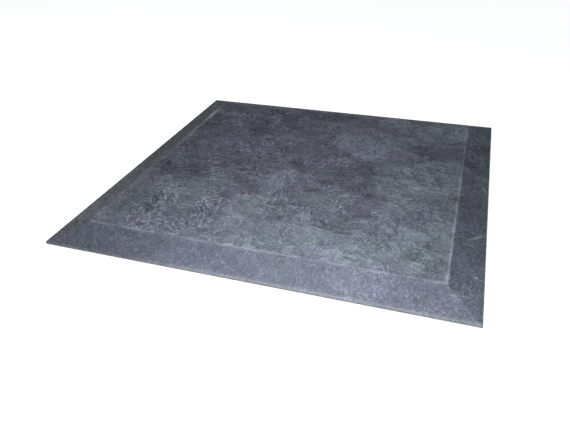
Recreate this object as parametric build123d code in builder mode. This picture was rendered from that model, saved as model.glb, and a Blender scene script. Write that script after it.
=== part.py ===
from build123d import *
import os

# Granite work slab for leatherworking, in millimetres.
# A square slab is cut from one thin sheet of stone. A wide shallow bevel is ground along each of
# its four sides, mitred at the corners, and leaves a flat square field to work on and a narrow
# upright edge all round. Five thin rubber pads, each held by a round film of adhesive, keep it
# from sliding and carry it: one near each corner and one under the middle.
#
# Frame: the origin is on the bench, under the middle of the slab. +Z is up, +X is to the right
# of someone working at the slab, and +Y points away from them. Front is the -Y side.

# Stone
slab_side = 305.0
slab_thickness = 10.0
edge_height = 2.0
bevel_width = 23.0
crest_radius = 5.0
arris_radius = 0.8
base_chamfer = 0.4

# Pads and their adhesive films
pad_diameter = 25.0
pad_thickness = 1.0
pad_rim_radius = 0.3
pad_inset = 36.0
adhesive_diameter = 23.0
adhesive_thickness = 0.2

# Heights above the bench
adhesive_base = pad_thickness
slab_base = pad_thickness + adhesive_thickness

bevel_drop = slab_thickness - edge_height
pad_offset = slab_side / 2 - pad_inset
pad_places = {
    "front_left": (-pad_offset, -pad_offset),
    "front_right": (pad_offset, -pad_offset),
    "back_left": (-pad_offset, pad_offset),
    "back_right": (pad_offset, pad_offset),
    "centre": (0.0, 0.0),
}

os.makedirs("parts", exist_ok=True)


# The stone: a sawn block, then its bevels, then its softened arrises.
with BuildPart() as granite_slab:
    with BuildSketch(Plane.XY.offset(slab_base)):
        Rectangle(slab_side, slab_side)
    extrude(amount=slab_thickness)

    sawn_face = granite_slab.faces().sort_by(Axis.Z)[-1]
    chamfer(sawn_face.edges(), length=bevel_width, length2=bevel_drop, reference=sawn_face)

    # From the bench up, the block's edges lie round its base, up its corners and at the
    # bevels' feet.
    edge_groups = granite_slab.edges().group_by(Axis.Z)
    corner_edges = edge_groups[1]
    bevel_foot_edges = edge_groups[2]
    fillet(corner_edges + bevel_foot_edges, radius=arris_radius)

    crest_edges = granite_slab.faces().sort_by(Axis.Z)[-1].edges()
    fillet(crest_edges, radius=crest_radius)

    underside = granite_slab.faces().sort_by(Axis.Z)[0]
    chamfer(underside.edges(), length=base_chamfer)
granite_slab.part.label = "granite_slab"
export_step(granite_slab.part, "parts/granite_slab.step")


# The pads and their films, alike at all five places.
for place, (pad_x, pad_y) in pad_places.items():
    with BuildPart() as foot:
        with BuildSketch(Plane(origin=(pad_x, pad_y, 0))):
            Circle(pad_diameter / 2)
        extrude(amount=pad_thickness)
        fillet(foot.edges().group_by(Axis.Z)[0], radius=pad_rim_radius)
    foot.part.label = "foot_" + place
    export_step(foot.part, "parts/foot_" + place + ".step")

    with BuildPart() as adhesive:
        with BuildSketch(Plane(origin=(pad_x, pad_y, adhesive_base))):
            Circle(adhesive_diameter / 2)
        extrude(amount=adhesive_thickness)
    adhesive.part.label = "adhesive_" + place
    export_step(adhesive.part, "parts/adhesive_" + place + ".step")
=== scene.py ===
import math
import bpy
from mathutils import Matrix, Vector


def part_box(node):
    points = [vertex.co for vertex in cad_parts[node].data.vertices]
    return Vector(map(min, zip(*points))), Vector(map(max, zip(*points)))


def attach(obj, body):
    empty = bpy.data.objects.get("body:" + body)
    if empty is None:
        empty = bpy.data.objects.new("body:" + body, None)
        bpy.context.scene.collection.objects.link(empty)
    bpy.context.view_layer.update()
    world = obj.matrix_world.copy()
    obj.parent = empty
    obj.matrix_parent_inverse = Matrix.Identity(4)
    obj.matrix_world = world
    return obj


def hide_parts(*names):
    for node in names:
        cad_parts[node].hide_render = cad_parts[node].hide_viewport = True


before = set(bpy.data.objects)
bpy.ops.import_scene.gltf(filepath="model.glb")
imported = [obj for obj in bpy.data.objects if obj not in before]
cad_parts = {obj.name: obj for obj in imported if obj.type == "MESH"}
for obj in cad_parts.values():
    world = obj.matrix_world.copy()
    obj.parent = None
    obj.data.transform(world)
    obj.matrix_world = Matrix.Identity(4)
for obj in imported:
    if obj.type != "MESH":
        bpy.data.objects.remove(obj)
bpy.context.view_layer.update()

from types import SimpleNamespace

import bpy
from mathutils import Quaternion, Vector, noise

# Lengths are in millimetres unless a comment says otherwise, and MM turns them into metres.
MM = 0.001
BODY = "root"

# ---------------------------------------------------------------- the stone's sizes, from the frame
stone_low, stone_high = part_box("granite_slab")
HALF = (stone_high[0] - stone_low[0]) / 2 / MM
STONE_BASE = stone_low[2] / MM
STONE_TOP = stone_high[2] / MM
EDGE_HEIGHT = 2.0
BEVEL_WIDTH = 23.0
BEVEL_SLOPE = (STONE_TOP - STONE_BASE - EDGE_HEIGHT) / BEVEL_WIDTH
FIELD_HALF = HALF - BEVEL_WIDTH


# ---------------------------------------------------------------- small helpers
def smooth_step(low, high, value):
    """0 below low, 1 above high, and smooth between them."""
    share = min(1.0, max(0.0, (value - low) / (high - low)))
    return share * share * (3.0 - 2.0 * share)


def soft_min(a, b, radius):
    """The lower of a and b, with the crease between them rounded over about radius."""
    nearness = max(radius - abs(a - b), 0.0) / radius
    return min(a, b) - nearness * nearness * radius / 4


def ripple(x, y, size, seed):
    """Smooth noise from -1 to 1 with features of about that size in mm."""
    return noise.noise(Vector((x / size, y / size, seed)))


def new_object(name, vertices, faces):
    mesh = bpy.data.meshes.new(name)
    mesh.from_pydata([tuple(c * MM for c in v) for v in vertices], [], faces)
    mesh.validate()
    mesh.update()
    mesh.shade_smooth()
    piece = bpy.data.objects.new(name, mesh)
    bpy.context.scene.collection.objects.link(piece)
    return piece


# ---------------------------------------------------------------- camera
CAMERA_AT = (123.7, -421.4, 232.4)
CAMERA_AIM = (2.2, -63.5, 1.2)
CAMERA_ROLL = -1.23  # degrees
CAMERA_LENS = 35.77
SENSOR_WIDTH = 36.0
CAMERA_NEAR = 10
CAMERA_FAR = 20000


def make_camera():
    data = bpy.data.cameras.new("camera")
    data.sensor_width = SENSOR_WIDTH
    data.lens = CAMERA_LENS
    data.clip_start = CAMERA_NEAR * MM
    data.clip_end = CAMERA_FAR * MM
    camera = bpy.data.objects.new("camera", data)
    bpy.context.scene.collection.objects.link(camera)
    at = Vector(CAMERA_AT) * MM
    aim = Vector(CAMERA_AIM) * MM
    look = (aim - at).to_track_quat("-Z", "Y")
    camera.rotation_mode = "QUATERNION"
    camera.rotation_quaternion = look @ Quaternion((0, 0, 1), math.radians(CAMERA_ROLL))
    camera.location = at
    bpy.context.scene.camera = camera


# ---------------------------------------------------------------- the stone's shape
SIDE_STEPS = 232
# Steps of the side to one step of the sawn underside, which has a coarser grid.
UNDER_RATIO = 4
UNDER_STEPS = SIDE_STEPS // UNDER_RATIO
# Steps next to a corner, as shares of a plain step.
CORNER_STEPS = (0.30, 0.42, 0.60, 0.80)
# Insets of the rings on the bevel: the first two, the plain step, and those about the crest.
FIRST_INSETS = (0.8, 1.4)
BEVEL_STEP = 1.04
CREST_GAP = 1.7
CREST_STEPS = (-0.8, -0.45, -0.15, 0.15, 0.45, 0.8)
# The rims left round the grid of the field and round that of the underside.
FIELD_RIM = 1.5
UNDER_RIM = 3.0

# The field lies this far below the CAD face, so that its swell never rises above it.
FIELD_SINK = 0.10
# The brushed ripples of the field: how far they are bent, their height, and what patches add.
RIPPLE_BEND = 2.6
RIPPLE_LEAST = 0.0072
RIPPLE_MORE = 0.024
# How softly two bevels meet, how softly a bevel meets the field, and what wear adds to that.
MITRE_ROUND = 0.8
CREST_ROUND = 0.22
CREST_WEAR = 0.45
# The mean height of the uneven sawn face above the base, and the radius of the upright corners.
UNDER_LIFT = 0.02
CORNER_RADIUS = 0.8
# The softened arris below the bevel and the softened edge of the base: inset, and how far the
# ring lies below the bevel's plane or above the base.
ARRIS_DROPS = ((0.0, 0.62), (0.05, 0.40), (0.14, 0.22), (0.28, 0.09), (0.48, 0.02))
BASE_ROUND = ((0.42, 0.0), (0.20, 0.06), (0.06, 0.20), (0.0, 0.42))


def field_relief(x, y):
    """The work face's faint swell and its brushed ripples, in mm."""
    swell = 0.035 * ripple(x, y, size=38.0, seed=3.1) + 0.018 * ripple(x, y, size=13.0, seed=7.7)
    patchy = smooth_step(-0.15, 0.45, ripple(x, y, size=24.0, seed=12.3))
    bent_x = x + RIPPLE_BEND * ripple(x, y, size=9.0, seed=21.0)
    bent_y = y + RIPPLE_BEND * ripple(x, y, size=9.0, seed=25.0)
    ridges = 1.0 - 2.2 * abs(ripple(bent_x, bent_y, size=4.6, seed=31.0))
    return swell + (RIPPLE_LEAST + RIPPLE_MORE * patchy) * ridges - 0.02


def bevel_relief(x, y):
    """The ground bevels' slight hand-made waviness, in mm."""
    return 0.06 * ripple(x, y, size=31.0, seed=41.0) + 0.022 * ripple(x, y, size=8.0, seed=43.0)


def stone_height(x, y):
    """Height of the stone's upper surface above its base at a point, in mm."""
    wave = bevel_relief(x, y)
    from_x = EDGE_HEIGHT + BEVEL_SLOPE * (HALF - abs(x)) + wave
    from_y = EDGE_HEIGHT + BEVEL_SLOPE * (HALF - abs(y)) + wave
    bevel = soft_min(from_x, from_y, MITRE_ROUND)
    top = STONE_TOP - STONE_BASE - FIELD_SINK + field_relief(x, y)
    wear = 0.5 + 0.5 * ripple(x, y, size=17.0, seed=51.0) + 0.35 * ripple(x, y, size=5.0, seed=53.0)
    return soft_min(bevel, top, CREST_ROUND + CREST_WEAR * max(0.0, wear))


def arris_height(x, y, inset, drop):
    """Height above the base on the softened arris below a bevel. Bruises take more of it away."""
    bruise = ripple(x, y, size=9.0, seed=71.0) + 0.5 * ripple(x, y, size=3.0, seed=73.0)
    lost = drop * (1.0 + 0.7 * max(0.0, bruise))
    return EDGE_HEIGHT + BEVEL_SLOPE * inset + bevel_relief(x, y) - lost


def under_height(x, y):
    """Height of the sawn underside above the base, in mm."""
    return UNDER_LIFT * (1.0 + ripple(x, y, size=30.0, seed=61.0))


def side_places():
    """Places along a side, from -1 to 1, closer together near the corners."""
    plain_steps = SIDE_STEPS - 2 * len(CORNER_STEPS)
    places = [0.0]
    for share in CORNER_STEPS + (1.0,) * plain_steps + CORNER_STEPS[::-1]:
        places.append(places[-1] + share)
    return [2.0 * p / places[-1] - 1.0 for p in places]


def bevel_insets():
    """Insets of the rings on a bevel, closer together at its foot and at its crest."""
    insets = list(FIRST_INSETS)
    while insets[-1] < BEVEL_WIDTH - CREST_GAP:
        insets.append(insets[-1] + BEVEL_STEP)
    return insets + [BEVEL_WIDTH + step for step in CREST_STEPS]


def square_ring(inset, places):
    """Points round a square at that inset, anticlockwise from the front left corner."""
    reach = HALF - inset
    there = [p * reach for p in places[:-1]]
    back = [p * reach for p in places[:0:-1]]
    ring = [(x, -reach) for x in there]
    ring += [(reach, y) for y in there]
    ring += [(x, reach) for x in back]
    ring += [(-reach, y) for y in back]
    return ring


def blunt_corner(x, y):
    """Pulls a point of the outer wall in where the upright corner is rounded."""
    core = HALF - CORNER_RADIUS
    over_x = abs(x) - core
    over_y = abs(y) - core
    if over_x <= 0 or over_y <= 0:
        return x, y
    length = math.hypot(over_x, over_y)
    if length <= CORNER_RADIUS:
        return x, y
    shrink = CORNER_RADIUS / length
    return math.copysign(core + over_x * shrink, x), math.copysign(core + over_y * shrink, y)


def stone_ring(inset, places, height_at):
    """A ring round the stone. height_at gives the height above the base before corners are rounded."""
    ring = []
    for x, y in square_ring(inset, places):
        blunt_x, blunt_y = blunt_corner(x, y)
        ring.append((blunt_x, blunt_y, STONE_BASE + height_at(x, y)))
    return ring


def stone_rings(places):
    """Rings from the rim of the underside, up the narrow edge and the bevel, past the crest."""
    rings = []
    for inset, lift in BASE_ROUND:
        rings.append(stone_ring(inset, places, lambda x, y: lift))
    for inset, drop in ARRIS_DROPS:
        rings.append(stone_ring(inset, places, lambda x, y: arris_height(x, y, inset, drop)))
    for inset in bevel_insets():
        rings.append(stone_ring(inset, places, stone_height))
    return rings


def add_grid(vertices, places, reach, height_at):
    """Adds a square grid of points. Gives the vertex at each column and row."""
    grid = {}
    for row, v in enumerate(places):
        for column, u in enumerate(places):
            grid[column, row] = len(vertices)
            x = u * reach
            y = v * reach
            vertices.append((x, y, STONE_BASE + height_at(x, y)))
    return grid


def grid_rim(grid, steps):
    """The grid's outer points, anticlockwise from the front left corner."""
    rim = [grid[i, 0] for i in range(steps)]
    rim += [grid[steps, i] for i in range(steps)]
    rim += [grid[steps - i, steps] for i in range(steps)]
    rim += [grid[0, steps - i] for i in range(steps)]
    return rim


def grid_faces(grid, steps, up):
    faces = []
    for row in range(steps):
        for column in range(steps):
            face = (
                grid[column, row],
                grid[column + 1, row],
                grid[column + 1, row + 1],
                grid[column, row + 1],
            )
            faces.append(face if up else face[::-1])
    return faces


def band(outer, inner):
    """Faces between two rings with as many points."""
    faces = []
    for i in range(len(outer)):
        j = (i + 1) % len(outer)
        faces.append((outer[i], outer[j], inner[j], inner[i]))
    return faces


def fans(outer, inner):
    """Faces that look down, between a ring and one with a quarter as many points."""
    faces = []
    for k, here in enumerate(inner):
        beyond = inner[(k + 1) % len(inner)]
        fan = [outer[(UNDER_RATIO * k + i) % len(outer)] for i in range(UNDER_RATIO + 1)]
        faces.append((fan[1], fan[0], here))
        faces.append((fan[2], fan[1], here))
        faces.append((fan[2], here, beyond))
        faces.append((fan[3], fan[2], beyond))
        faces.append((fan[4], fan[3], beyond))
    return faces


def make_stone():
    places = side_places()
    vertices = []
    rings = []
    for ring in stone_rings(places):
        rings.append(range(len(vertices), len(vertices) + len(ring)))
        vertices += ring
    faces = []
    for lower, upper in zip(rings, rings[1:]):
        faces += band(lower, upper)

    field = add_grid(vertices, places, FIELD_HALF - FIELD_RIM, stone_height)
    faces += grid_faces(field, SIDE_STEPS, up=True)
    faces += band(rings[-1], grid_rim(field, SIDE_STEPS))

    under = add_grid(vertices, places[::UNDER_RATIO], HALF - UNDER_RIM, under_height)
    faces += grid_faces(under, UNDER_STEPS, up=False)
    faces += fans(rings[0], grid_rim(under, UNDER_STEPS))
    return new_object("stone", vertices, faces)


# ---------------------------------------------------------------- material helpers
def opaque(colour):
    """A colour of three numbers gets its alpha. A socket stays as it is."""
    return colour + (1.0,) if isinstance(colour, tuple) else colour


class Graph:
    """A short way to write a material's nodes. A value may be a number or another node's socket."""

    def __init__(self, name):
        self.material = bpy.data.materials.new(name)
        self.material.use_nodes = True
        self.tree = self.material.node_tree
        self.tree.nodes.clear()
        output = self.tree.nodes.new("ShaderNodeOutputMaterial")
        self.shader = self.tree.nodes.new("ShaderNodeBsdfPrincipled")
        self.tree.links.new(self.shader.outputs["BSDF"], output.inputs["Surface"])

    def put(self, socket, value):
        if isinstance(value, bpy.types.NodeSocket):
            self.tree.links.new(value, socket)
        else:
            socket.default_value = value

    def set(self, name, value):
        """Sets or links one of the shader's own sockets."""
        self.put(self.shader.inputs[name], value)

    def add(self, kind, inputs, **settings):
        made = self.tree.nodes.new(kind)
        for key, value in settings.items():
            setattr(made, key, value)
        for key, value in inputs.items():
            self.put(made.inputs[key], value)
        return made

    def node(self, kind, inputs, output=0, **settings):
        return self.add(kind, inputs, **settings).outputs[output]

    def math(self, operation, a, b=0.0, c=0.0):
        return self.node("ShaderNodeMath", {0: a, 1: b, 2: c}, operation=operation)

    def vector(self, operation, a, b, output="Vector"):
        return self.node("ShaderNodeVectorMath", {0: a, 1: b}, output, operation=operation)

    def total(self, *values):
        result = values[0]
        for value in values[1:]:
            result = self.math("ADD", result, value)
        return result

    def times(self, *values):
        result = values[0]
        for value in values[1:]:
            result = self.math("MULTIPLY", result, value)
        return result

    def highest(self, *values):
        result = values[0]
        for value in values[1:]:
            result = self.math("MAXIMUM", result, value)
        return result

    def span(self, value, low, high, to_low=0.0, to_high=1.0):
        """Maps low..high smoothly on to to_low..to_high."""
        inputs = {"Value": value, 1: low, 2: high, 3: to_low, 4: to_high}
        return self.node("ShaderNodeMapRange", inputs, interpolation_type="SMOOTHSTEP")

    def noise(self, point, size, detail=2.0, rough=0.5, distortion=0.0, seed=0.0):
        """Smooth noise from 0 to 1 with features of about that size in mm."""
        inputs = {
            "Vector": point,
            "W": seed,
            "Scale": 1.0 / size,
            "Detail": detail,
            "Roughness": rough,
            "Distortion": distortion,
        }
        return self.node("ShaderNodeTexNoise", inputs, noise_dimensions="4D")

    def drift(self, point, size, detail, rough):
        """A vector of smooth noise about zero, to push points about with."""
        inputs = {"Vector": point, "Scale": 1.0 / size, "Detail": detail, "Roughness": rough}
        colour = self.node("ShaderNodeTexNoise", inputs, output="Color", noise_dimensions="3D")
        return self.vector("ADD", colour, (-0.5, -0.5, -0.5))

    def pushed(self, point, drift, distance):
        """The point pushed by a drift, by up to half of distance."""
        return self.vector("ADD", point, self.scaled(drift, distance))

    def cells(self, point, size):
        """Cells of about that size in mm: the node, and the parts of each cell's random colour."""
        made = self.add("ShaderNodeTexVoronoi", {"Vector": point, "Scale": 1.0 / size})
        parts = self.add("ShaderNodeSeparateColor", {0: made.outputs["Color"]}).outputs
        return made, parts

    def signed(self, value, weight):
        """Turns a noise of 0..1 into one about zero, times weight."""
        return self.times(self.math("SUBTRACT", value, 0.5), 2.0 * weight)

    def blend(self, factor, a, b):
        """Colour a where factor is 0, colour b where it is 1."""
        inputs = {0: factor, 6: opaque(a), 7: opaque(b)}
        return self.node("ShaderNodeMix", inputs, output=2, data_type="RGBA")

    def scaled(self, vector, factor):
        return self.node("ShaderNodeVectorMath", {0: vector, "Scale": factor}, operation="SCALE")

    def spun(self, point, angle, centre=(0.0, 0.0, 0.0)):
        """The point turned about an upright line through centre, by an angle in radians."""
        inputs = {"Vector": point, "Center": centre, "Angle": angle}
        return self.node("ShaderNodeVectorRotate", inputs, rotation_type="Z_AXIS")

    def stretched(self, point, size):
        """The point measured in units of size, so that a pattern is drawn out by it."""
        return self.vector("MULTIPLY", point, tuple(1.0 / s for s in size))

    def point(self):
        """The place on the object, in millimetres."""
        place = self.node("ShaderNodeTexCoord", {}, output="Object")
        return self.scaled(place, 1.0 / MM)

    def bump(self, height, distance):
        return self.node("ShaderNodeBump", {"Height": height, "Distance": distance * MM, "Strength": 1.0})


# ---------------------------------------------------------------- the stone's finish
# Cloudy patches of the field and of the bevels: centre x and y, half length, half
# width, turn in degrees, tone in stops, and tint from purple-grey (-1) to blue-green grey (+1).
FIELD_PATCHES = (
    (37, 55, 36, 21, -48, 0.54, 0.6),
    (112, 108, 28, 24, 10, 0.44, 0.8),
    (62, 118, 20, 14, 0, 0.36, 0.2),
    (68, 72, 18, 14, 0, 0.28, 1.3),
    (104, 61, 32, 16, -5, -0.44, -0.8),
    (94, -4, 38, 44, 0, 0.26, 0.9),
    (48, -8, 19, 28, 0, -0.30, -0.7),
    (64, -48, 11, 22, -20, -0.28, -0.5),
    (30, -48, 24, 12, 0, 0.12, 0.9),
    (-104, -31, 34, 16, -8, -0.42, -0.3),
    (-110, -18, 11, 4, 10, 0.24, 0.2),
    (-78, -70, 28, 22, 15, 0.26, 0.7),
    (-108, -96, 18, 14, 10, -0.26, 0.6),
    (-26, -74, 15, 20, 0, 0.26, 0.9),
    (40, -106, 56, 18, 0, 0.28, 0.2),
    (50, -81, 12, 12, -20, -0.24, 0.2),
    (34, -123, 80, 9, 0, 0.20, 0.1),
    (-14, -36, 14, 32, 0, 0.28, -0.4),
    (-67, 76, 12, 26, 8, -0.42, -0.2),
    (-120, 72, 10, 22, 0, -0.56, 0.0),
    (-122, 24, 8, 34, 0, -0.20, 0.0),
    (122, 18, 10, 26, 0, 0.16, 0.4),
    (-92, 100, 26, 14, 0, 0.12, -0.5),
    (-20, 30, 26, 12, -15, -0.20, -0.3),
    (-4, 4, 14, 14, 0, -0.26, -0.3),
    (-76, 30, 40, 14, 0, 0.18, -0.5),
    (-12, 118, 30, 12, 0, -0.20, -0.2),
    (122, -116, 12, 12, 0, -0.26, 0.4),
    (119, -26, 13, 13, 0, -0.42, 0.6),
    (104, -14, 16, 7, 0, -0.12, 0.5),
    (84, -108, 44, 16, 0, 0.0, 1.0),
    (-69, 113, 16, 10, 0, -0.52, -0.3),
    (108, -88, 22, 30, 0, 0.14, 0.8),
    (-84, -20, 56, 90, 0, -0.10, -0.2),
    (-20, 70, 120, 70, 0, 0.04, -0.5),
    (10, -104, 130, 34, 0, 0.06, 0.1),
    (62, 92, 74, 42, 0, 0.14, 0.3),
    (80, 45, 22, 9, 0, -0.18, 0.0),
    (70, 22, 14, 9, 0, 0.22, 0.2),
    (22, -33, 12, 22, 0, -0.18, 0.0),
    (-92, 46, 12, 10, 0, 0.18, 0.1),
    (2, 69, 12, 10, 0, 0.14, 0.0),
    (0, 92, 12, 9, 0, -0.34, 0.0),
    (-68, -22, 12, 10, 0, -0.24, 0.0),
    (-70, -69, 13, 11, 0, -0.24, 0.0),
    (92, 0, 10, 9, 0, -0.22, 0.0),
    (-92, -115, 12, 8, 0, -0.16, 0.0),
    (48, 46, 10, 8, 0, -0.16, 0.0),
)
BEVEL_PATCHES = (
    (-112, -141, 56, 20, 0, -0.30, 0.2),
    (70, -143, 22, 10, 0, 0.22, 0.2),
    (24, -140, 12, 12, 0, 0.02, 0.8),
    (142, -125, 12, 20, 0, 0.20, 0.7),
    (143, 92, 12, 16, 0, -0.26, -0.8),
    (150, 30, 7, 60, 0, 0.06, 0.8),
    (146, -10, 14, 90, 0, -0.24, -0.2),
    (137, -139, 9, 7, 45, 0.12, 0.4),
    (150, -149, 7, 6, 0, 0.24, 0.2),
    (132, -122, 6, 10, 0, -0.28, 0.3),
    (141, -92, 14, 34, 0, -0.20, 0.4),
    (142, -30, 10, 24, 0, -0.18, -0.2),
    (141, 42, 8, 20, 0, 0.22, 0.1),
    (138, 120, 10, 26, 0, 0.26, 0.1),
    (142, 62, 12, 32, 0, -0.08, -0.2),
    (-142, -40, 10, 20, 0, -0.06, 0.0),
    (-142, -92, 10, 26, 0, -0.06, 0.0),
    (-142, 20, 12, 90, 0, -0.12, 0.4),
    (-142, 30, 10, 24, 0, -0.16, 0.0),
    (-142, 90, 12, 40, 0, -0.18, 0.0),
    (0, 142, 60, 12, 0, 0.10, 0.0),
    (-90, 142, 40, 12, 0, -0.20, 0.3),
)

# Dark creases and pale streaks of the field, much narrower than the clouds, in the same terms.
FIELD_CREASES = (
    (38, -89, 11, 1.8, -10, -0.80, -0.4),
    (54, -92, 8, 2.0, 5, -0.80, 0.1),
    (38, -83, 6, 2.0, -50, -0.85, -0.6),
    (63, -66, 10, 3.4, 12, -0.60, -0.6),
    (62, -74, 8, 1.7, 10, 0.50, -0.4),
    (17, -38, 8, 1.8, 30, -0.60, 0.0),
    (19, -31, 11, 1.5, 0, 0.45, -0.4),
    (-8, 3, 10, 4.0, -20, -0.50, 0.0),
    (24, -21, 9, 4.5, -20, -0.50, 0.0),
)

# Pale scratches and bruises: centre x and y, half length, half width, turn in
# degrees, and strength.
MARKS = (
    (145.5, -63.0, 12.0, 1.5, 52, 0.52),
    (149.0, 13.0, 11.0, 2.4, -72, 0.32),
    (146.4, -110.0, 2.6, 2.2, 0, 0.55),
    (139.0, -77.0, 5.0, 1.6, 20, 0.26),
    (129.0, 108.0, 24.0, 3.2, 90, 0.60),
    (-129.0, 92.0, 32.0, 3.8, 90, 0.95),
    (-129.0, 40.0, 50.0, 3.0, 90, 0.40),
    (-14.0, -144.0, 9.0, 1.3, -22, 0.10),
    (9.0, -129.0, 16.0, 2.2, 0, 0.36),
    (-40.0, -129.0, 30.0, 2.6, 0, 0.24),
    (98.0, -131.5, 26.0, 3.4, 0, 0.06),
    (31.0, 47.0, 16.0, 1.2, 60, 0.06),
)

# Brushed strokes come in swathes, each brushed in one direction: the size of a swathe, the length
# and width of its strokes, the seed of their noise, and their weight.
STROKES = (
    (26.0, 7.0, 1.25, 15.0, 1.0),
    (13.0, 4.5, 1.1, 16.0, 0.85),
)

# The grain is drawn out along a line turned this many degrees from front to back.
BRUSH_TURN = 18.0
GRAIN_STRETCH = (1.0, 1.4, 1.0)

# Colours, as linear red, green and blue. A bevel's run cooler and darker than the field's.
PURPLE_GREY = (0.125, 0.128, 0.176)
GREEN_GREY = (0.115, 0.136, 0.161)
BEVEL_PURPLE = (0.104, 0.112, 0.159)
BEVEL_GREEN = (0.100, 0.115, 0.148)
BROWN_GREY = (0.117, 0.131, 0.153)
CHALK = (0.40, 0.443, 0.515)
FOOT_GREEN = (0.090, 0.118, 0.131)
EDGE_GREY = (0.104, 0.114, 0.112)
BARE_STONE = (0.112, 0.116, 0.124)

# Share of an ellipse's reach where a patch begins, and where it is at full strength.
PATCH_RIM = 1.06
PATCH_CORE = 0.80
# How far noise pushes each pattern about.
PATCH_WARP = 40.0
MARK_WARP = 3.0
WRINKLE_WARP = 4.0
SWATHE_SWAY = 16.0
STROKE_SWAY = 11.0
# Sizes of the swathes and of the crystals, and how a swathe's tone slopes across it.
WIDE_SWATHE = 34.0
SMALL_SWATHE = 15.0
SWATHE_SLOPE = (0.9, 1.2)
SPECK_SPACING = 2.0
CRYSTAL_SIZE = 2.2

# How much each pattern adds to the tone, in stops.
SWATHE_TONE = 0.23
CLOUD_TONE = 0.20
STREAK_TONE = 0.22
STROKE_TONE = 0.62
WRINKLE_TONE = -0.46
GRAIN_TONE = 1.25
COARSE_GRAIN_TONE = 0.72
SPECK_TONE = 1.2
EVEN_TONE = 0.05
# How much each adds to the tint.
SWATHE_TINT = 0.36
CLOUD_TINT = 1.0
TINT_REACH = 1.3

# How strongly the wear of crests and arrises covers the stone's own colour.
WEAR_STRENGTH = 0.32
STONE_ROUGHNESS = 0.62
STONE_SPECULAR = 0.45
RELIEF_DEPTH = 0.18
# Heights above the base where the sawn face's look ends, and where it is at full strength.
SAWN_END = 0.30
SAWN_FULL = 0.12

# The saw that cut the underside: where its blade turned, and the pitch of the arcs it left.
BLADE_CENTRE = (-420.0, -260.0, 0.0)
BLADE_PITCH = 3.6


def patch_distance(g, point, x, y, length, width, turn):
    """0 at the middle of an ellipse, 1 on its rim."""
    spun = g.spun(point, -math.radians(turn), (x, y, 0.0))
    local = g.node(
        "ShaderNodeVectorMath",
        {0: spun, 1: (1.0 / length, 1.0 / width, 0.0), 2: (-x / length, -y / width, 0.0)},
        operation="MULTIPLY_ADD",
    )
    return g.node("ShaderNodeVectorMath", {0: local}, output="Value", operation="LENGTH")


def patch_sums(g, patches, warped):
    """The tone and the tint that a list of patches adds up to."""
    tone = 0.0
    tint = 0.0
    for x, y, length, width, turn, stops, hue in patches:
        distance = patch_distance(g, warped, x, y, length, width, turn)
        inside = g.span(distance, PATCH_RIM, PATCH_CORE)
        tone = g.math("MULTIPLY_ADD", inside, stops, tone)
        tint = g.math("MULTIPLY_ADD", inside, hue, tint)
    return tone, tint


def light_marks(g, point):
    """Scratches and bruises, each an ellipse drawn out to a thin line: 0 to 1."""
    marked = 0.0
    for x, y, length, width, turn, strength in MARKS:
        distance = patch_distance(g, point, x, y, length, width, turn)
        marked = g.highest(marked, g.times(g.span(distance, 1.0, 0.2), strength))
    return marked


def swathes(g, point, size):
    """Swathes side by side, each with its own tone and tint, and shaded from side to side."""
    cells, chance = g.cells(point, size)
    from_middle = g.vector("SUBTRACT", point, cells.outputs["Position"])
    slope = (SWATHE_SLOPE[0] / size, SWATHE_SLOPE[1] / size, 0.0)
    shaded = g.vector("DOT_PRODUCT", from_middle, slope, output="Value")
    return g.total(g.signed(chance[0], 0.5), shaded), g.signed(chance[1], 1.0)


def brushed_strokes(g, point):
    """Short crisp strokes, each swathe brushed in a direction of its own: about -1 to 1."""
    strokes = 0.0
    for size, length, width, seed, weight in STROKES:
        cells, chance = g.cells(point, size)
        from_middle = g.vector("SUBTRACT", point, cells.outputs["Position"])
        spun = g.spun(from_middle, g.times(chance[0], math.pi))
        local = g.stretched(spun, (length, width, length))
        own_seed = g.total(g.times(chance[1], 40.0), seed)
        lines = g.noise(local, size=1.0, detail=1.0, rough=0.5, seed=own_seed)
        strokes = g.total(strokes, g.times(g.span(lines, 0.37, 0.63, -0.5, 0.5), weight))
    return strokes


def stone_zones(g, point):
    """Where a point lies on the stone: its place, and a share from 0 to 1 for each zone."""
    x, y, z = g.add("ShaderNodeSeparateXYZ", {0: point}).outputs
    reach_x = g.math("ABSOLUTE", x)
    reach_y = g.math("ABSOLUTE", y)
    inset = g.math("SUBTRACT", HALF, g.highest(reach_x, reach_y))

    # The crest line wanders a little, and the field ends there.
    wander = g.signed(g.noise(point, size=11.0, detail=2.0, seed=2.0), 0.6)
    from_crest = g.total(inset, -BEVEL_WIDTH, wander)
    field = g.span(from_crest, -0.6, 0.6)
    bevels = g.math("SUBTRACT", 1.0, field)
    sides = g.times(bevels, g.math("GREATER_THAN", reach_x, reach_y))
    right = g.times(sides, g.math("GREATER_THAN", x, 0.0))
    left = g.math("SUBTRACT", sides, right)

    # Brush strokes cover the field and the back of the right bevel, and show less elsewhere.
    back_right = g.times(right, g.span(y, -20.0, 60.0))
    brushed = g.total(g.span(field, 0.0, 1.0, 0.3, 1.0), back_right, g.times(left, 0.4))

    # The front and back bevels, but for their left ends.
    rubbed = g.times(g.math("SUBTRACT", bevels, sides), g.span(x, -70.0, -30.0))
    arris = STONE_BASE + EDGE_HEIGHT
    below_arris = g.span(z, arris - 0.4, arris - 0.9)
    return SimpleNamespace(
        x=x,
        y=y,
        z=z,
        inset=inset,
        from_crest=from_crest,
        field=field,
        bevels=bevels,
        sides=sides,
        right=right,
        left=left,
        brushed=brushed,
        rubbed=rubbed,
        below_arris=below_arris,
    )


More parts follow.
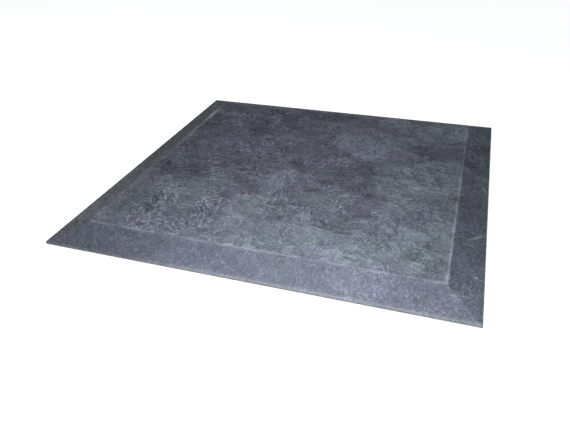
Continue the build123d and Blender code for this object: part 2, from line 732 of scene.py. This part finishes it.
def stone_clouds(g, point, zone, warp, sway, drawn_out):
    """The tone, in stops, and the tint of all that is broader than a stroke."""
    warped = g.pushed(point, warp, PATCH_WARP)
    field_tone, field_tint = patch_sums(g, FIELD_PATCHES, warped)
    bevel_tone, bevel_tint = patch_sums(g, BEVEL_PATCHES, warped)
    crease_tone, crease_tint = patch_sums(g, FIELD_CREASES, g.pushed(point, warp, MARK_WARP))
    tone = g.total(g.times(field_tone, zone.field), g.times(bevel_tone, zone.bevels), crease_tone)
    tint = g.total(g.times(field_tint, zone.field), g.times(bevel_tint, zone.bevels), crease_tint)

    swayed = g.pushed(point, sway, SWATHE_SWAY)
    wide_tone, wide_tint = swathes(g, swayed, WIDE_SWATHE)
    small_tone, small_tint = swathes(g, swayed, SMALL_SWATHE)
    cloud = g.noise(point, size=30.0, detail=2.0, rough=0.55, distortion=0.6, seed=4.0)
    streaks = g.noise(drawn_out, size=7.0, detail=1.0, rough=0.5, distortion=0.5, seed=5.0)
    tint_cloud = g.noise(point, size=30.0, detail=3.0, rough=0.6, seed=6.0)
    tone = g.total(
        tone,
        g.times(g.total(wide_tone, small_tone), zone.brushed, SWATHE_TONE),
        g.signed(cloud, CLOUD_TONE),
        g.signed(streaks, STREAK_TONE),
    )
    tint = g.total(
        tint,
        g.times(g.total(wide_tint, small_tint), zone.brushed, SWATHE_TINT),
        g.signed(tint_cloud, CLOUD_TINT),
    )
    return tone, tint


def stone_ridges(g, point, zone, sway):
    """The brushed strokes, stronger at the left and weaker at the right."""
    rubbed = g.noise(point, size=24.0, detail=2.0, rough=0.6, seed=43.0)
    strength = g.times(
        g.span(rubbed, 0.36, 0.62, 0.40, 1.35),
        g.span(zone.y, -110.0, -40.0, 1.0, 1.08),
        g.span(zone.x, -70.0, 0.0, 1.4, 1.0),
        g.span(zone.x, 60.0, 100.0, 1.0, 0.8),
    )
    return g.times(brushed_strokes(g, g.pushed(point, sway, STROKE_SWAY)), zone.brushed, strength)


def stone_wrinkles(g, point, zone, warp, drawn_out):
    """Fine dark wrinkles, in patches."""
    bent = g.pushed(drawn_out, warp, WRINKLE_WARP)
    folds = g.signed(g.noise(bent, size=2.6, detail=1.0, rough=0.4, seed=41.0), 1.0)
    patchy = g.span(g.noise(point, size=16.0, detail=3.0, rough=0.6, seed=42.0), 0.44, 0.60, 0.15, 1.0)
    return g.times(g.span(g.math("ABSOLUTE", folds), 0.13, 0.0), patchy, zone.brushed)


def grain_strength(g, point, zone):
    """How strongly the grain shows: uneven, and stronger on the side bevels and at both sides."""
    patchy = g.noise(point, size=14.0, detail=2.0, seed=12.0)
    on_left = g.times(zone.left, g.span(zone.y, -80.0, 60.0, 0.7, 1.2))
    on_bevels = g.total(g.times(zone.bevels, 0.12), g.times(zone.right, 0.35), on_left)
    return g.times(
        g.span(patchy, 0.3, 0.7, 0.75, 1.2),
        g.total(1.0, on_bevels),
        g.span(zone.x, 60.0, 100.0, 1.0, 1.25),
        g.span(zone.x, -100.0, -50.0, 1.3, 1.0),
    )


def bright_specks(g, point):
    """Small bright crystals, one cell in several."""
    cells, chance = g.cells(point, SPECK_SPACING)
    return g.times(g.span(cells.outputs["Distance"], 0.32, 0.10), g.span(chance[0], 0.78, 0.98))


def painted_bevel_shade(g, zone, to_foot):
    """The tone, in stops, that the bevels add to their own grain: mostly painted shade and painted light,
    darker or paler by how the light falls on each bevel.
    """
    # The left bevel is darker, most of all behind its front end and towards its foot: painted shade.
    on_left = g.total(
        g.span(zone.y, -110.0, -40.0, -0.24, -0.52),
        g.span(zone.y, 110.0, 130.0, 0.0, 0.10),
    )
    # The right one is paler below its middle and darker towards its crest, as painted light and
    # painted shade, and both sides have painted shade in their last millimetres. The front and back
    # ones are paler towards the foot.
    return g.total(
        g.times(zone.left, on_left),
        g.times(to_foot, -0.12),
        g.times(zone.sides, g.span(zone.inset, 3.0, 0.8), -0.16),
        g.times(zone.right, g.span(zone.inset, 9.0, 21.0, 0.06, -0.14)),
        g.times(zone.rubbed, g.span(zone.inset, 5.5, 1.0), 0.12),
    )


def stone_colour(g, zone, tone, tint, to_foot):
    """The colour of the stone before wear; its tone carries the bevels' painted shade and painted light.
    """
    tint = g.span(tint, -TINT_REACH, TINT_REACH)
    field = g.blend(tint, PURPLE_GREY, GREEN_GREY)
    bevel = g.blend(tint, BEVEL_PURPLE, BEVEL_GREEN)
    colour = g.blend(zone.field, bevel, field)
    # The left bevel is made browner, most of all towards its foot.
    browned = g.total(g.times(zone.left, 0.45), g.times(to_foot, 0.5))
    colour = g.blend(browned, colour, BROWN_GREY)
    # The upright edge is less blue, and the right bevel is greener towards its foot.
    at_arris = g.highest(zone.below_arris, g.times(g.span(zone.inset, 2.5, 0.5), 0.4))
    colour = g.blend(g.times(at_arris, 0.9), colour, EDGE_GREY)
    green = g.times(zone.right, g.span(zone.inset, 9.0, 2.0), g.span(zone.y, -90.0, -20.0, 0.2, 0.9))
    colour = g.blend(green, colour, FOOT_GREEN)
    return g.scaled(colour, g.math("POWER", 2.0, tone))


def crest_wear(g, zone, along, close, at_right):
    """The bruised line on the crest, and a pale band about it that the right crest lacks."""
    at_left = g.span(zone.x, -FIELD_HALF + 3.0, -FIELD_HALF + 1.0)
    off_crest = g.highest(g.times(zone.from_crest, -1.5), g.times(zone.from_crest, 0.7))
    half_width = g.times(g.span(along, 0.30, 0.72, 1.3, 2.5), g.span(at_right, 0.0, 1.0, 1.0, 0.6))
    line = g.times(
        g.span(g.math("DIVIDE", off_crest, half_width), 1.0, 0.2),
        g.span(close, 0.25, 0.65, 0.55, 1.0),
        g.total(g.span(along, 0.30, 0.70, 0.35, 1.2), g.times(at_right, 0.35)),
        g.span(at_left, 0.0, 1.0, 1.0, 0.6),
    )
    pale_band = g.times(
        g.span(off_crest, 6.0, 1.0),
        g.span(along, 0.3, 0.7, 0.06, 0.20),
        g.span(at_right, 0.0, 1.0, 1.0, 0.0),
    )
    return g.highest(line, pale_band)


def stone_wear(g, point, zone, warp, grain):
    """How much pale wear covers the stone: crests, lower arrises, scratches and bruises."""
    along = g.noise(point, size=16.0, detail=3.0, rough=0.6, seed=13.0)
    close = g.noise(point, size=2.6, detail=2.0, rough=0.6, seed=14.0)
    at_right = g.span(zone.x, FIELD_HALF - 3.0, FIELD_HALF - 1.0)
    low_line = g.times(
        g.span(zone.inset, 2.2, 0.5),
        g.math("SUBTRACT", 1.0, zone.below_arris),
        g.span(close, 0.30, 0.60, 0.25, 0.70),
        g.span(zone.rubbed, 0.0, 1.0, 0.3, 1.0),
    )
    worn = g.times(g.highest(crest_wear(g, zone, along, close, at_right), low_line), WEAR_STRENGTH)
    marks = g.times(light_marks(g, g.pushed(point, warp, MARK_WARP)), g.span(grain, 0.35, 0.60, 0.6, 1.0))
    return g.highest(worn, marks)


def blade_arcs(g, point):
    """The arcs that the saw's blade left, fainter in places: -1 to 1."""
    from_blade = g.vector("DISTANCE", point, BLADE_CENTRE, output="Value")
    feed = g.signed(g.noise(point, size=60.0, detail=2.0, seed=31.0), 2.0)
    arcs = g.math("SINE", g.times(g.total(from_blade, feed), math.tau / BLADE_PITCH))
    return g.times(arcs, g.span(g.noise(point, size=45.0, detail=2.0, seed=32.0), 0.35, 0.65, 0.2, 1.0))


def sawn_colour(g, point, arcs, grain):
    """The bare stone of the underside, with its crystals of 1 to 3 mm."""
    crystals = g.cells(point, CRYSTAL_SIZE)[1][0]
    tone = g.total(
        g.signed(crystals, 0.5),
        g.times(arcs, 0.13),
        g.signed(grain, 0.7),
        g.signed(g.noise(point, size=50.0, detail=3.0, seed=33.0), 0.4),
    )
    return g.scaled(BARE_STONE, g.math("POWER", 2.0, tone))


def make_stone_finish():
    g = Graph("stone_finish")
    point = g.point()
    zone = stone_zones(g, point)
    warp = g.drift(point, size=20.0, detail=5.0, rough=0.66)
    sway = g.drift(point, size=13.0, detail=1.0, rough=0.4)
    drawn_out = g.stretched(g.spun(point, -math.radians(BRUSH_TURN)), GRAIN_STRETCH)

    clouds, tint = stone_clouds(g, point, zone, warp, sway, drawn_out)
    ridges = stone_ridges(g, point, zone, sway)
    wrinkles = stone_wrinkles(g, point, zone, warp, drawn_out)
    grain = g.noise(drawn_out, size=0.8, detail=1.5, rough=0.6, distortion=0.4, seed=10.0)
    coarse_grain = g.noise(drawn_out, size=1.7, detail=1.5, rough=0.6, distortion=0.8, seed=11.0)
    strength = grain_strength(g, point, zone)
    speck = bright_specks(g, point)
    # The left bevel towards its foot, where painted shade darkens it and its colour turns browner.
    to_foot = g.times(zone.left, g.span(zone.inset, 20.0, 8.0))
    tone = g.total(
        clouds,
        g.times(ridges, STROKE_TONE),
        g.times(wrinkles, WRINKLE_TONE),
        g.times(g.signed(grain, GRAIN_TONE), strength),
        g.times(g.signed(coarse_grain, COARSE_GRAIN_TONE), strength),
        EVEN_TONE,
        g.times(speck, SPECK_TONE),
        # painted shade and painted light of the bevels
        painted_bevel_shade(g, zone, to_foot),
    )
    colour = stone_colour(g, zone, tone, tint, to_foot)
    wear = stone_wear(g, point, zone, warp, grain)
    worn = g.blend(wear, colour, CHALK)

    sawn = g.span(zone.z, STONE_BASE + SAWN_END, STONE_BASE + SAWN_FULL)
    arcs = blade_arcs(g, point)
    g.set("Base Color", g.blend(sawn, worn, sawn_colour(g, point, arcs, grain)))
    # Worn and sawn places are rougher, and the specks smoother.
    rough = g.total(
        STONE_ROUGHNESS,
        g.signed(grain, 0.10),
        g.times(wear, 0.35),
        g.times(speck, -0.18),
        g.times(sawn, 0.15),
    )
    g.set("Roughness", rough)
    g.set("Specular IOR Level", STONE_SPECULAR)
    # The fine relief, as shares of its depth.
    relief = g.total(
        g.times(grain, 0.5),
        g.times(coarse_grain, 1.0),
        g.times(ridges, 0.55),
        g.times(wrinkles, -0.5),
        g.times(speck, 0.2),
        g.times(arcs, sawn, 0.4),
    )
    g.set("Normal", g.bump(relief, RELIEF_DEPTH))
    return g.material


# ---------------------------------------------------------------- pads and their adhesive films
# The pads and films: the names of their places, the steps round each, a pad's moulded grooves
# (radius, width and depth), and how far each rim is rounded.
PLACES = ("front_left", "front_right", "back_left", "back_right", "centre")
ROUND_STEPS = 72
GROOVES = (2.8, 5.8, 8.8)
GROOVE_WIDTH = 0.9
GROOVE_DEPTH = 0.16
PAD_RIM = 0.3
FILM_RIM = 0.04


def corner_points(radius, low, high, rim, steps=4):
    """A disc's edge from its underside to its top, with both corners rounded, as (radius, height)."""
    points = []
    for i in range(steps + 1):
        angle = math.pi / 2 * i / steps
        points.append((radius - rim + rim * math.sin(angle), low + rim - rim * math.cos(angle)))
    for i in range(steps + 1):
        angle = math.pi / 2 * i / steps
        points.append((radius - rim + rim * math.cos(angle), high - rim + rim * math.sin(angle)))
    return points


def pad_profile(radius, low, high):
    """From the middle of the gripping face, over its grooves and round the rim to the top."""
    profile = []
    for groove in GROOVES:
        slope = GROOVE_WIDTH / 4
        profile.append((groove - GROOVE_WIDTH / 2, low))
        profile.append((groove - slope, low + GROOVE_DEPTH))
        profile.append((groove + slope, low + GROOVE_DEPTH))
        profile.append((groove + GROOVE_WIDTH / 2, low))
    return profile + corner_points(radius, low, high, PAD_RIM)


def make_disc(name, node, profile_of, slack, seed):
    """A round piece in the place of a CAD node, with an uneven outline up to slack mm inside it."""
    low, high = [[c / MM for c in corner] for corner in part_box(node)]
    centre_x = (low[0] + high[0]) / 2
    centre_y = (low[1] + high[1]) / 2
    radius = (high[0] - low[0]) / 2
    profile = profile_of(radius, low[2], high[2])
    vertices = [(centre_x, centre_y, low[2])]
    for r, z in profile:
        for i in range(ROUND_STEPS):
            angle = math.tau * i / ROUND_STEPS
            along_x = math.cos(angle)
            along_y = math.sin(angle)
            cut = slack * (0.5 + 0.5 * noise.noise(Vector((2 * along_x, 2 * along_y, seed))))
            reach = r - cut * r / radius
            vertices.append((centre_x + reach * along_x, centre_y + reach * along_y, z))
    vertices.append((centre_x, centre_y, high[2]))

    faces = []
    last_ring = 1 + (len(profile) - 1) * ROUND_STEPS
    top = len(vertices) - 1
    for i in range(ROUND_STEPS):
        j = (i + 1) % ROUND_STEPS
        faces.append((0, 1 + j, 1 + i))
        faces.append((last_ring + i, last_ring + j, top))
        for start in range(1, last_ring, ROUND_STEPS):
            upper = start + ROUND_STEPS
            faces.append((start + i, start + j, upper + j, upper + i))
    return new_object(name, vertices, faces)


def film_profile(radius, low, high):
    return corner_points(radius, low, high, FILM_RIM, steps=2)


RUBBER_DARK = (0.020, 0.020, 0.022)
RUBBER_PALE = (0.034, 0.034, 0.036)
RUBBER_DUST = (0.11, 0.11, 0.105)
FILM_DARK = (0.50, 0.48, 0.40)
FILM_PALE = (0.62, 0.60, 0.53)
FILM_AIR = (0.75, 0.74, 0.70)


def make_rubber_finish():
    """Stippled black rubber with dust in its hollows."""
    g = Graph("rubber_finish")
    point = g.point()
    stipple = g.noise(point, size=0.35, detail=2.0, seed=1.0)
    cloud = g.noise(point, size=6.0, detail=4.0, rough=0.6, seed=2.0)
    dust = g.times(g.span(cloud, 0.45, 0.75), g.span(stipple, 0.4, 0.7, 0.3, 1.0))
    rubber = g.blend(cloud, RUBBER_DARK, RUBBER_PALE)
    g.set("Base Color", g.blend(g.times(dust, 0.5), rubber, RUBBER_DUST))
    g.set("Roughness", g.total(g.span(cloud, 0.3, 0.7, 0.62, 0.78), g.times(dust, 0.12)))
    g.set("Specular IOR Level", 0.4)
    g.set("Normal", g.bump(g.total(stipple, g.times(cloud, 0.5)), 0.05))
    return g.material


def make_film_finish():
    """Yellowish adhesive with trapped air."""
    g = Graph("film_finish")
    point = g.point()
    cloud = g.noise(point, size=4.0, detail=4.0, rough=0.6, seed=1.0)
    bubbles = g.cells(point, 1.4)[0].outputs["Distance"]
    trapped = g.times(g.span(bubbles, 0.30, 0.16), g.span(cloud, 0.5, 0.6))
    film = g.blend(cloud, FILM_DARK, FILM_PALE)
    g.set("Base Color", g.blend(g.times(trapped, 0.5), film, FILM_AIR))
    g.set("Roughness", g.span(cloud, 0.3, 0.7, 0.30, 0.45))
    g.set("Normal", g.bump(g.total(cloud, trapped), 0.03))
    return g.material


# ---------------------------------------------------------------- studio
FLOOR_SIDE = 16.0  # metres
FLOOR_GREYS = ((0.86, 0.86, 0.86), (0.90, 0.90, 0.90))
FLOOR_GLOW = 0.8
ROOM_COLOUR = (0.95, 0.97, 1.0)
ROOM_LIGHT = 0.18
WHITE = (1.0, 1.0, 1.0)
# The lights: name, place, aim, side of the square lamp, and watts.
LIGHTS = (
    ("key_light", (50, -235, 208), (35, -80, 0), 140, 0.88),
    ("left_light", (-700, 0, 450), (0, 0, 0), 400, 0.65),
)


def make_floor():
    bpy.ops.mesh.primitive_plane_add(size=FLOOR_SIDE, location=(0.0, 0.0, 0.0))
    floor = bpy.context.object
    floor.name = "floor"
    g = Graph("floor_paper")
    mottle = g.noise(g.point(), size=90.0, detail=3.0)
    g.set("Base Color", g.blend(mottle, *FLOOR_GREYS))
    g.set("Roughness", 0.85)
    g.set("Emission Color", opaque(WHITE))
    g.set("Emission Strength", FLOOR_GLOW)
    floor.data.materials.append(g.material)


def add_area_light(name, at, aim, size, watts):
    data = bpy.data.lights.new(name, "AREA")
    data.shape = "SQUARE"
    data.size = size * MM
    data.energy = watts
    light = bpy.data.objects.new(name, data)
    light.location = Vector(at) * MM
    light.rotation_euler = (Vector(aim) - Vector(at)).to_track_quat("-Z", "Y").to_euler()
    bpy.context.scene.collection.objects.link(light)


def make_room():
    """Soft light from all round. Past the end of the floor the room looks as pale as the floor."""
    world = bpy.data.worlds.new("studio")
    world.use_nodes = True
    tree = world.node_tree
    room = tree.nodes["Background"]
    room.inputs["Color"].default_value = opaque(ROOM_COLOUR)
    room.inputs["Strength"].default_value = ROOM_LIGHT
    backdrop = tree.nodes.new("ShaderNodeBackground")
    backdrop.inputs["Color"].default_value = opaque(WHITE)
    path = tree.nodes.new("ShaderNodeLightPath")
    either = tree.nodes.new("ShaderNodeMixShader")
    tree.links.new(path.outputs["Is Camera Ray"], either.inputs["Fac"])
    tree.links.new(room.outputs["Background"], either.inputs[1])
    tree.links.new(backdrop.outputs["Background"], either.inputs[2])
    tree.links.new(either.outputs["Shader"], tree.nodes["World Output"].inputs["Surface"])
    bpy.context.scene.world = world


# ---------------------------------------------------------------- build
# How far the outline of a pad and of a film may lie inside its CAD node.
PAD_SLACK = 0.12
FILM_SLACK = 0.30

make_camera()
make_floor()
make_room()
for light in LIGHTS:
    add_area_light(*light)

stone = make_stone()
stone.data.materials.append(make_stone_finish())
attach(stone, BODY)
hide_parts("granite_slab")

rubber_finish = make_rubber_finish()
film_finish = make_film_finish()
for number, place in enumerate(PLACES):
    pad_seed = number + 0.5
    pad = make_disc("pad_" + place, "foot_" + place, pad_profile, PAD_SLACK, pad_seed)
    pad.data.materials.append(rubber_finish)
    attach(pad, BODY)
    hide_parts("foot_" + place)

    film_seed = number + 20.5
    film = make_disc("film_" + place, "adhesive_" + place, film_profile, FILM_SLACK, film_seed)
    film.data.materials.append(film_finish)
    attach(film, BODY)
    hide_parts("adhesive_" + place)

bpy.context.scene.view_settings.view_transform = "Standard"
